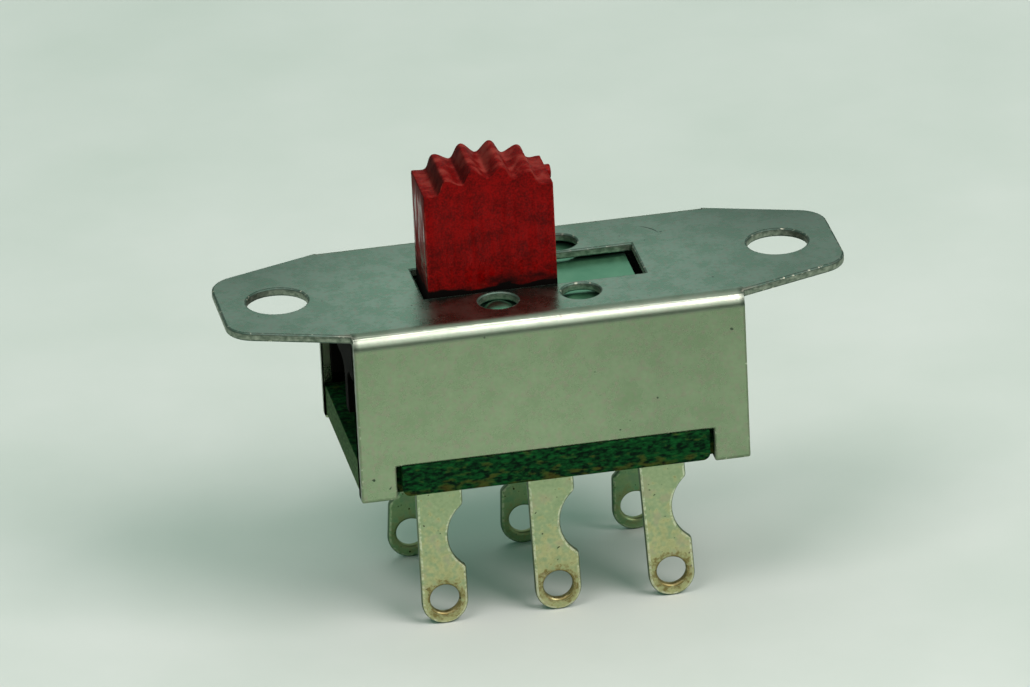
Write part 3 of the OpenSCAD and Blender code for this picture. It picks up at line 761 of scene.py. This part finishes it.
# %% The stain round the wire hole
LUG_STAIN = linear("#80703e")
LUG_SPECK = linear("#33341f")
WIRE_HOLE_MM = 0.84
HOLE_RIM_MM = 0.9
STAIN_MM = 0.75
RING_RANGE = {
    "From Min": WIRE_HOLE_MM + STAIN_MM,
    "From Max": HOLE_RIM_MM,
    "To Min": -0.3,
    "To Max": 0.22,
}
STAIN_GRAIN = 0.7
STAIN_RANGE = {"From Min": 0.76, "From Max": 1.04}
STAIN_MOST = 0.85
LUG_SPECK_RANGE = {"From Min": 0.7, "From Max": 0.76}


def stain_and_specks(tree, in_mm, far, patterns, row_shade, silver):
    """The silver with its stain and specks; far is the distance from the hole's middle."""
    _, grain, blots = patterns
    ring = add(tree, "MapRange", {"Value": far, **RING_RANGE})
    stain = add(tree, "Math", {0: blots, 1: ring}, operation="ADD")
    stain = add(tree, "Math", {0: grain, 1: STAIN_GRAIN, 2: stain}, operation="MULTIPLY_ADD")
    # On the shaded back row the stain fades out with the painted shade.
    stain = add(
        tree, "MapRange", {"Value": stain, **STAIN_RANGE, "To Max": STAIN_MOST * (1 - row_shade)}
    )
    colour = add(tree, "Mix", {AMOUNT: stain, UNDER: silver, OVER: LUG_STAIN}, data_type="RGBA")
    speckle = add(tree, "TexNoise", {"Vector": in_mm, "Scale": 1 / LUG_SPECK_MM, "Detail": 1.0})
    speck = add(tree, "MapRange", {"Value": speckle, **LUG_SPECK_RANGE})
    return add(tree, "Mix", {AMOUNT: speck, UNDER: colour, OVER: LUG_SPECK}, data_type="RGBA")


print("the stain reaches", STAIN_MM, "mm past the hole")

# %% [markdown]
# ### The lugs' edges
#
# The sheared sides are dark, and the corners beside them are rubbed bright and
# are also painted bright as painted highlights, except round the hole, where
# the stain lies on them.

# %% Sheared sides and bright corners
LUG_CUT = linear("#566a58")
LUG_BRIGHT = linear("#e2e6cb")
# The lugs' flat sides look to the front and the back, and their cuts do not.
LUG_CUT_LEAN = 0.7
LUG_CUT_MOST = 0.8
STAINED_RIM_MM = 0.2
BRIGHT_RANGE = {"From Min": 0.4, "From Max": 0.62}
BRIGHT_MOST = 0.75


def lug_edges(tree, facing, far, patterns, row_shade, colour):
    """The colour with dark sheared sides and bright corners, partly wear and partly painted
    highlight.
    """
    _, grain, _ = patterns
    sheared = add(tree, "Math", {0: facing["Y"], 1: 0.0, 2: LUG_CUT_LEAN}, operation="COMPARE")
    in_hole = add(tree, "Math", {0: far, 1: HOLE_RIM_MM}, operation="LESS_THAN")
    sheared = add(tree, "Math", {0: sheared, 1: in_hole}, operation="SUBTRACT", use_clamp=True)
    sheared = add(tree, "Math", {0: sheared, 1: LUG_CUT_MOST}, operation="MULTIPLY")
    colour = add(tree, "Mix", {AMOUNT: sheared, UNDER: colour, OVER: LUG_CUT}, data_type="RGBA")
    edge = add(tree, "Attribute", attribute_name="edge").outputs["Fac"]
    outside = add(
        tree, "Math", {0: far, 1: WIRE_HOLE_MM + STAINED_RIM_MM}, operation="GREATER_THAN"
    )
    # The bright corners are partly rubbed wear and partly a painted highlight; the shaded back row
    # gets less of it.
    rubbed = add(
        tree, "MapRange", {"Value": grain, **BRIGHT_RANGE, "To Max": BRIGHT_MOST * (1 - row_shade)}
    )
    rubbed = add(tree, "Math", {0: rubbed, 1: edge}, operation="MULTIPLY")
    rubbed = add(tree, "Math", {0: rubbed, 1: outside}, operation="MULTIPLY")
    rubbed = add(tree, "Math", {0: rubbed, 1: sheared}, operation="SUBTRACT", use_clamp=True)
    return add(tree, "Mix", {AMOUNT: rubbed, UNDER: colour, OVER: LUG_BRIGHT}, data_type="RGBA")


print("the bright corners cover up to", BRIGHT_MOST)

# %% [markdown]
# ### Six lugs
#
# The record of the frame says where each wire hole is, so each lug gets its
# stain in the right place, and a softened copy of its mesh.

# %% Tarnished silver for one lug
LUG_ROUGHNESS_RANGE = {"To Min": 0.36, "To Max": 0.52}
LUG_RELIEF = 0.25
LUG_RELIEF_MM = 0.05


def tarnished_silver(name, hole, row_shade):
    """A lug's finish; hole is the middle of its wire hole, in mm."""
    material, tree, shader, in_mm = begin_material(name)
    place = add(tree, "SeparateXYZ", {0: in_mm}).outputs
    normal = add(tree, "TexCoord").outputs["Normal"]
    facing = add(tree, "SeparateXYZ", {0: normal}).outputs
    patterns = lug_patterns(tree, in_mm)
    colour = silver_plate(tree, place, patterns, row_shade)
    far = add(tree, "VectorMath", {0: in_mm, 1: hole}, operation="DISTANCE")
    colour = stain_and_specks(tree, in_mm, far, patterns, row_shade, colour)
    colour = lug_edges(tree, facing, far, patterns, row_shade, colour)
    clouds, _, blots = patterns
    roughness = add(tree, "MapRange", {"Value": clouds, **LUG_ROUGHNESS_RANGE})
    bump = add(
        tree, "Bump", {"Height": blots, "Strength": LUG_RELIEF, "Distance": LUG_RELIEF_MM * MM}
    )
    shader.inputs["Metallic"].default_value = 1.0
    finish_material(tree, shader, colour, roughness, bump)
    return material


# %% A finish and a softened copy for each lug
# The back row is a shaded copy of the finish: painted darker and greener, as painted shade.
ROWS = {"front": 0.0, "back": 0.6}
COLUMNS = ("left", "centre", "right")

holes = {m["name"]: Vector(m["pos_m"]) / MM for m in frame["record"]["mounts"]}
for row, row_shade in ROWS.items():
    for column in COLUMNS:
        where = f"{row}_{column}"
        hole = holes[f"wire_hole_{where}"]
        finish = tarnished_silver(f"tarnished_silver_{where}", hole, row_shade)
        soften(
            f"terminal_{where}",
            f"lug_{where}",
            "switch_body",
            finish,
            width=0.18,
            shortest=0.12,
        )

# %% [markdown]
# ## The parts inside
#
# The detent sheet is blued spring steel. It closes the open part of the slot
# and shows through the round holes. The contacts are silver plated and their
# springs are drawn wire, and both can only be seen through the open ends. The
# stamped parts get softened edges like the rest. The wire is round already, so
# the springs keep their own meshes and only get a finish.

# %% A finish for bright sheet and wire
BRIGHT_SPREAD = 0.08
BRIGHT_RELIEF = 0.1
BRIGHT_RELIEF_MM = 0.05


def bright_metal(name, ramp, roughness, cloud):
    """A worn metal in the two tones of a ramp; cloud is the size of its patches in mm."""
    material, tree, shader, in_mm = begin_material(name)
    clouds = add(tree, "TexNoise", {"Vector": in_mm, "Scale": 1 / cloud, "Detail": 4.0})
    colour = add(tree, "ValToRGB", {"Fac": clouds}, stops=ramp)
    spread = {"To Min": roughness - BRIGHT_SPREAD, "To Max": roughness + BRIGHT_SPREAD}
    dulled = add(tree, "MapRange", {"Value": clouds, **spread})
    bump = add(
        tree,
        "Bump",
        {"Height": clouds, "Strength": BRIGHT_RELIEF, "Distance": BRIGHT_RELIEF_MM * MM},
    )
    shader.inputs["Metallic"].default_value = 1.0
    finish_material(tree, shader, colour, dulled, bump)
    return material


# %% The detent sheet, the contacts and their springs
BLUED = [(0.35, "#5c9f80"), (0.65, "#76b394")]
SILVERED = [(0.35, "#a8a58c"), (0.65, "#c9c6ac")]
DRAWN = [(0.35, "#6f7672"), (0.65, "#8d9490")]

blued_steel = bright_metal("spring_steel", BLUED, roughness=0.32, cloud=1.5)
contact_silver = bright_metal("silvered_contact", SILVERED, roughness=0.35, cloud=0.8)
drawn_wire = bright_metal("spring_wire", DRAWN, roughness=0.3, cloud=0.3)

soften("detent_spring", "detent_sheet", "sliding_unit", blued_steel, width=0.03)
for row in ROWS:
    soften(
        f"bridge_contact_{row}",
        f"contact_boat_{row}",
        "sliding_unit",
        contact_silver,
        width=0.04,
    )
    finishes = nodes[f"contact_spring_{row}"].data.materials
    finishes.clear()
    finishes.append(drawn_wire)
    print("the", row, "spring gets", drawn_wire.name)

# %% [markdown]
# ## The table
#
# The switch stands on its lugs on a sheet of pale paper. One flat face is
# enough: it is not part of the object, and its only job is to hold the soft
# shadow and to be what the steel mirrors.

# %% Pale paper
PAPER = [(0.3, "#ced5ce"), (0.7, "#d8dcd7")]
PAPER_CLOUD_MM = 14
PAPER_ROUGHNESS_RANGE = {"To Min": 0.8, "To Max": 0.9}
PAPER_RELIEF = 0.1
PAPER_RELIEF_MM = 0.5

paper, tree, shader, in_mm = begin_material("pale_paper")
clouds = add(tree, "TexNoise", {"Vector": in_mm, "Scale": 1 / PAPER_CLOUD_MM, "Detail": 6.0})
colour = add(tree, "ValToRGB", {"Fac": clouds}, stops=PAPER)
roughness = add(tree, "MapRange", {"Value": clouds, **PAPER_ROUGHNESS_RANGE})
bump = add(
    tree, "Bump", {"Height": clouds, "Strength": PAPER_RELIEF, "Distance": PAPER_RELIEF_MM * MM}
)
shader.inputs["Specular IOR Level"].default_value = 0.2
finish_material(tree, shader, colour, roughness, bump)
print("the paper's clouds are", PAPER_CLOUD_MM, "mm across")

# %% A sheet of it under the lugs
TABLE_SIZE = 4.0

half = TABLE_SIZE / 2
table_height = cad_box[0][2]
table_mesh = bpy.data.meshes.new("table")
corners = ((-half, -half), (half, -half), (half, half), (-half, half))
table_mesh.from_pydata([(x, y, table_height) for x, y in corners], [], [(0, 1, 2, 3)])
table_mesh.materials.append(paper)
table = bpy.data.objects.new("table", table_mesh)
scene.collection.objects.link(table)
print("the table is at", round(table_height / MM, 2), "mm")

# %% [markdown]
# ## Light
#
# Two soft lamps hang above and in front, a strong one to the right and a weak
# one to the left. A third, weaker still, hangs behind and lightens the floor
# under the switch. It is kept out of reflections, so that the fold has one
# bright line and not two. One wide lamp could do it all, but separate ones let
# each side's shadow have its own depth.

# %% The soft lamps
LAMP_COLOUR = "#fff0f3"
LAMP_DISTANCE = 0.45
LAMPS = {
    # name: direction, width in metres, watts
    "right_lamp": (Vector((0.62, -0.66, 1.0)), 0.25, 1.46),
    "left_lamp": (Vector((-0.42, -0.38, 1.0)), 0.2, 0.75),
    "back_lamp": (Vector((0.0, 0.5, 1.0)), 0.3, 0.27),
}
UNSEEN_LAMP = "back_lamp"

for name, (direction, width, watts) in LAMPS.items():
    lamp_data = bpy.data.lights.new(name, "AREA")
    lamp_data.shape = "SQUARE"
    lamp_data.size = width
    lamp_data.energy = watts
    lamp_data.color = linear(LAMP_COLOUR)[:3]
    lamp = bpy.data.objects.new(name, lamp_data)
    lamp.location = direction.normalized() * LAMP_DISTANCE
    lamp.rotation_euler = direction.to_track_quat("Z", "Y").to_euler()
    lamp.visible_glossy = name != UNSEEN_LAMP
    scene.collection.objects.link(lamp)
    print(name, "gives", watts, "W from", LAMP_DISTANCE, "m away")

# %% [markdown]
# ### The room
#
# An even pale room fills the shadows. Its light is cool and the lamps' is
# slightly warm, so that full light is neutral and shadows are cool. What the
# camera and the steel see of the room is a pale wall that darkens towards the
# horizon and the ceiling, which gives the fold a dark line on both sides of
# its shine. A Light Path node tells the two apart.

# %% A pale room
ROOM_LIGHT = linear("#b0ffe2")
ROOM_STRENGTH = 0.32
ROOM_WALL = "#ced8d0"
ROOM_HORIZON = "#4a554c"
ROOM_CEILING = "#8b968e"
ROOM_SEEN = [
    (0.0, ROOM_WALL),
    (0.05, ROOM_HORIZON),
    (0.14, ROOM_HORIZON),
    (0.34, ROOM_WALL),
    (0.5, ROOM_WALL),
    (0.74, ROOM_CEILING),
]

world = bpy.data.worlds.new("room")
world.use_nodes = True
scene.world = world
tree = world.node_tree
tree.nodes.clear()
direction = add(tree, "TexCoord").outputs["Generated"]
upward = add(tree, "SeparateXYZ", {0: direction}).outputs["Z"]
wall = add(tree, "ValToRGB", {"Fac": upward}, stops=ROOM_SEEN)
seen = add(tree, "Background", {"Color": wall, "Strength": 1.0})
lit = add(tree, "Background", {"Color": ROOM_LIGHT, "Strength": ROOM_STRENGTH})
path = add(tree, "LightPath").outputs
looked_at = add(
    tree, "Math", {0: path["Is Camera Ray"], 1: path["Is Glossy Ray"]}, operation="MAXIMUM"
)
looked_at = add(tree, "Math", {0: looked_at, 1: path["Is Transmission Ray"]}, operation="MAXIMUM")
room = add(tree, "MixShader", {0: looked_at, 1: lit, 2: seen})
add(tree, "OutputWorld", {"Surface": room})
print("the room is lit at", ROOM_STRENGTH)

# %% [markdown]
# ## The camera
#
# A long lens from the front, a little to the left and well above, keeps the
# edges nearly parallel. The camera is turned by a few degrees about its own
# axis, so the switch seems to climb to the right.

# %% The camera
AIM = Vector((-1.19, -1.51, -3.66)) * MM
DISTANCE = 0.63
AZIMUTH = math.radians(9.68)
ELEVATION = math.radians(24.65)
ROLL = math.radians(-2.8)

camera_data = bpy.data.cameras.new("camera")
camera_data.sensor_width = 36
camera_data.lens = 392.9
camera_data.clip_start = 0.01
camera = bpy.data.objects.new("camera", camera_data)
turn = Euler((math.pi / 2 - ELEVATION, 0, -AZIMUTH)).to_quaternion()
turn = turn @ Euler((0, 0, ROLL)).to_quaternion()
camera.rotation_euler = turn.to_euler()
camera.location = AIM + turn @ Vector((0, 0, DISTANCE))
scene.collection.objects.link(camera)
scene.camera = camera
scene.view_settings.view_transform = "Standard"
print("the camera is at", [round(v / MM, 1) for v in camera.location], "mm")
